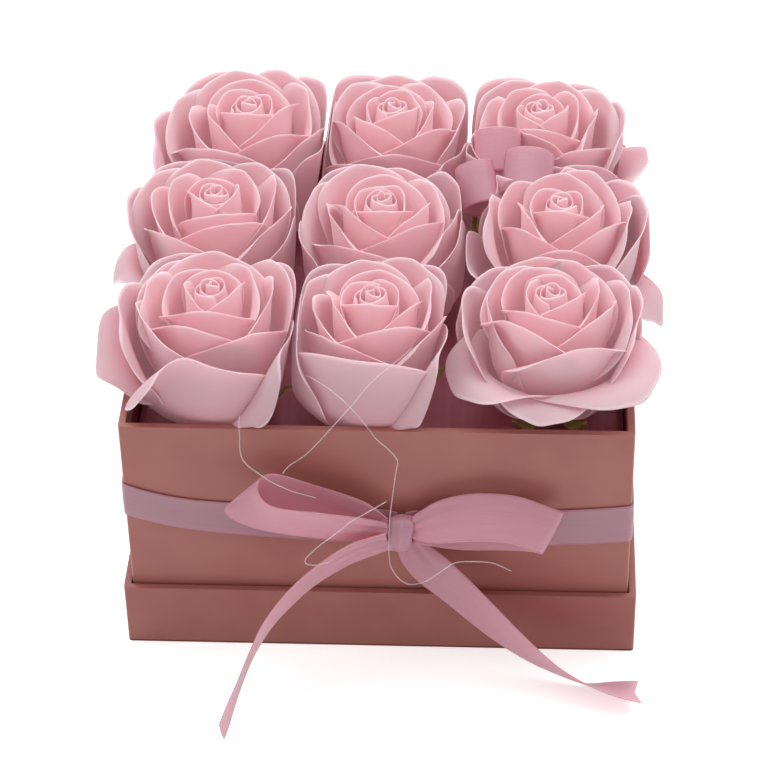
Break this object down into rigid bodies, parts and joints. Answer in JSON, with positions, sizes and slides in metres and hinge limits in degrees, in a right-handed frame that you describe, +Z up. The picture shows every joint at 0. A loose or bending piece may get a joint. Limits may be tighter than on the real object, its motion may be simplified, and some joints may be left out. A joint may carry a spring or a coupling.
{
  "type": "flower box",
  "caption": "Square rigid gift box standing in its own lid, filled with soap roses on picks in a foam insert and tied with a satin ribbon bow.",
  "frame": {"origin": "centre of the lid's underside, where it rests", "axes": "+Z up out of the box, -Y towards the bow, +X to the right when facing the bow"},
  "size_m": [0.1778, 0.2352, 0.132],
  "materials": {
    "greyboard": "raw greyboard, stands in as a matte plastic",
    "wrap_paper": "pearlescent dusty rose wrapping paper",
    "lining_paper": "matt rose lining paper",
    "foam": "open foam",
    "insert_satin": "satin cloth on card",
    "satin_ribbon": "single-faced satin",
    "soap_petal": "pressed soap sheet, soft sheen",
    "moulded_green": "moulded polyethylene greenery",
    "clear_thread": "clear iridescent thread"
  },
  "bodies": {
    "lid": {"lid_board": "greyboard", "lid_wrap": "wrap_paper", "lid_face_sheet": "wrap_paper", "lid_lining": "lining_paper"},
    "box": {"box_board": "greyboard", "box_wrap": "wrap_paper", "box_lining": "lining_paper", "ribbon_band": "satin_ribbon", "bow_knot": "satin_ribbon", "bow_loop_left": "satin_ribbon", "bow_loop_right": "satin_ribbon", "bow_tail_left": "satin_ribbon", "bow_tail_right": "satin_ribbon"},
    "insert": {"insert_foam": "foam", "insert_cover": "insert_satin"},
    "rosette": {"rosette_pick": "moulded_green", "rosette_loop_left": "satin_ribbon", "rosette_loop_right": "satin_ribbon", "rosette_loop_back": "satin_ribbon"},
    "rose_back_left": {"rose_head_back_left": "soap_petal", "calyx_back_left": "moulded_green", "pick_back_left": "moulded_green"},
    "rose_back_centre": {"rose_head_back_centre": "soap_petal", "calyx_back_centre": "moulded_green", "pick_back_centre": "moulded_green"},
    "rose_back_right": {"rose_head_back_right": "soap_petal", "calyx_back_right": "moulded_green", "pick_back_right": "moulded_green"},
    "rose_middle_left": {"rose_head_middle_left": "soap_petal", "calyx_middle_left": "moulded_green", "pick_middle_left": "moulded_green"},
    "rose_middle_centre": {"rose_head_middle_centre": "soap_petal", "calyx_middle_centre": "moulded_green", "pick_middle_centre": "moulded_green"},
    "rose_middle_right": {"rose_head_middle_right": "soap_petal", "calyx_middle_right": "moulded_green", "pick_middle_right": "moulded_green"},
    "rose_front_left": {"rose_head_front_left": "soap_petal", "calyx_front_left": "moulded_green", "pick_front_left": "moulded_green"},
    "rose_front_centre": {"rose_head_front_centre": "soap_petal", "calyx_front_centre": "moulded_green", "pick_front_centre": "moulded_green", "thread_long": "clear_thread", "thread_cross": "clear_thread", "thread_side": "clear_thread", "thread_low": "clear_thread"},
    "rose_front_right": {"rose_head_front_right": "soap_petal", "calyx_front_right": "moulded_green", "pick_front_right": "moulded_green"}
  },
  "joints": [
    {"name": "box_lift", "type": "slide", "parent": "lid", "child": "box", "axis": [0, 0, 1], "range_m": [0, 0.04]},
    {"name": "insert_lift", "type": "slide", "parent": "box", "child": "insert", "axis": [0, 0, 1], "range_m": [0, 0.095]},
    {"name": "rosette_lift", "type": "slide", "parent": "insert", "child": "rosette", "axis": [0, 0, 1], "range_m": [0, 0.09]},
    {"name": "rose_back_left_lift", "type": "slide", "parent": "insert", "child": "rose_back_left", "axis": [0, 0, 1], "range_m": [0, 0.1]},
    {"name": "rose_back_centre_lift", "type": "slide", "parent": "insert", "child": "rose_back_centre", "axis": [0, 0, 1], "range_m": [0, 0.1]},
    {"name": "rose_back_right_lift", "type": "slide", "parent": "insert", "child": "rose_back_right", "axis": [0, 0, 1], "range_m": [0, 0.1]},
    {"name": "rose_middle_left_lift", "type": "slide", "parent": "insert", "child": "rose_middle_left", "axis": [0, 0, 1], "range_m": [0, 0.1]},
    {"name": "rose_middle_centre_lift", "type": "slide", "parent": "insert", "child": "rose_middle_centre", "axis": [0, 0, 1], "range_m": [0, 0.1]},
    {"name": "rose_middle_right_lift", "type": "slide", "parent": "insert", "child": "rose_middle_right", "axis": [0, 0, 1], "range_m": [0, 0.1]},
    {"name": "rose_front_left_lift", "type": "slide", "parent": "insert", "child": "rose_front_left", "axis": [0, 0, 1], "range_m": [0, 0.1]},
    {"name": "rose_front_centre_lift", "type": "slide", "parent": "insert", "child": "rose_front_centre", "axis": [0, 0, 1], "range_m": [0, 0.1]},
    {"name": "rose_front_right_lift", "type": "slide", "parent": "insert", "child": "rose_front_right", "axis": [0, 0, 1], "range_m": [0, 0.1]}
  ]
}
